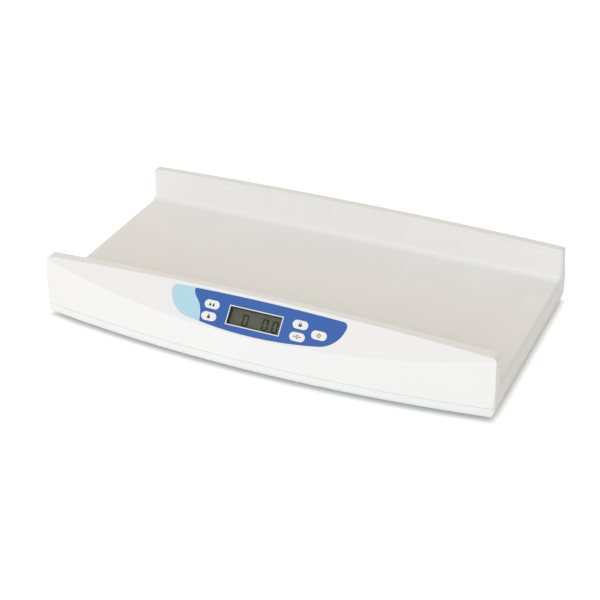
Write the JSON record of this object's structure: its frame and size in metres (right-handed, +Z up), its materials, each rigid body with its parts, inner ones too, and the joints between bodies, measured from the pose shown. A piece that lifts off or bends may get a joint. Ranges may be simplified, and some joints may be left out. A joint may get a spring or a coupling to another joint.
{
  "type": "digital baby scale",
  "caption": "Digital weighing scale for babies: an open-ended tray on a low base, with a raked display panel and keys.",
  "frame": {"origin": "middle of the bounding box, on the surface that the scale stands on", "axes": "+X along the tray, to the right as seen from the display; +Y away from the display; +Z up"},
  "size_m": [0.6, 0.3299, 0.09],
  "materials": {
    "white_shell": "satin moulded",
    "white_trim": "satin moulded",
    "key_white": "satin moulded",
    "panel_film": "printed film",
    "clear_window": "clear",
    "display_glass": "polarised glass",
    "display_ink": "liquid crystal",
    "contact_rubber": "soft",
    "circuit_board": "solder mask",
    "black_resin": "moulded resin",
    "screw_steel": "zinc plated",
    "battery_jacket": "plain jacket",
    "spring_metal": "nickel plated",
    "cell_steel": "rolled sheet",
    "gauge_film": "sealed film",
    "foot_rubber": "matt",
    "black_lead": "sleeved wire",
    "red_lead": "sleeved wire"
  },
  "bodies": {
    "scale": {"tray_housing": "white_shell", "base_shell": "white_shell", "panel_overlay": "panel_film", "lcd_frame": "white_trim", "lcd_window": "clear_window", "lcd_panel": "display_glass", "lcd_digits": "display_ink", "lcd_holder": "white_trim", "contact_strips": "contact_rubber", "main_board": "circuit_board", "board_parts": "black_resin", "board_screws": "screw_steel", "switch_bodies": "black_resin", "batteries": "battery_jacket", "battery_contacts": "spring_metal", "load_cell_front_left": "cell_steel", "load_cell_front_right": "cell_steel", "load_cell_back_left": "cell_steel", "load_cell_back_right": "cell_steel", "gauge_pads": "gauge_film", "cell_screws": "screw_steel", "foot_front_left": "white_trim", "foot_front_right": "white_trim", "foot_back_left": "white_trim", "foot_back_right": "white_trim", "foot_pad_front_left": "foot_rubber", "foot_pad_front_right": "foot_rubber", "foot_pad_back_left": "foot_rubber", "foot_pad_back_right": "foot_rubber", "cell_leads": "black_lead", "battery_leads": "red_lead", "housing_screws": "screw_steel"},
    "key_unit_upper": {"key_unit_upper": "key_white", "plunger_unit_upper": "black_resin"},
    "key_unit_lower": {"key_unit_lower": "key_white", "plunger_unit_lower": "black_resin"},
    "key_hold": {"key_hold": "key_white", "plunger_hold": "black_resin"},
    "key_zero": {"key_zero": "key_white", "plunger_zero": "black_resin"},
    "key_power": {"key_power": "key_white", "plunger_power": "black_resin"},
    "battery_door": {"battery_door": "white_shell"}
  },
  "joints": [
    {"name": "press_unit_upper", "type": "slide", "parent": "scale", "child": "key_unit_upper", "axis": [0, 0.7431, -0.6691], "range_m": [0, 0.0005], "stiffness_N_per_m": 1800, "springref_m": -0.0001},
    {"name": "press_unit_lower", "type": "slide", "parent": "scale", "child": "key_unit_lower", "axis": [0, 0.7431, -0.6691], "range_m": [0, 0.0005], "stiffness_N_per_m": 1800, "springref_m": -0.0001},
    {"name": "press_hold", "type": "slide", "parent": "scale", "child": "key_hold", "axis": [0, 0.7431, -0.6691], "range_m": [0, 0.0005], "stiffness_N_per_m": 1800, "springref_m": -0.0001},
    {"name": "press_zero", "type": "slide", "parent": "scale", "child": "key_zero", "axis": [0, 0.7431, -0.6691], "range_m": [0, 0.0005], "stiffness_N_per_m": 1800, "springref_m": -0.0001},
    {"name": "press_power", "type": "slide", "parent": "scale", "child": "key_power", "axis": [0, 0.7431, -0.6691], "range_m": [0, 0.0005], "stiffness_N_per_m": 1800, "springref_m": -0.0001},
    {"name": "battery_door_slide", "type": "slide", "parent": "scale", "child": "battery_door", "axis": [0, 1, 0], "range_m": [0, 0.0065]}
  ]
}
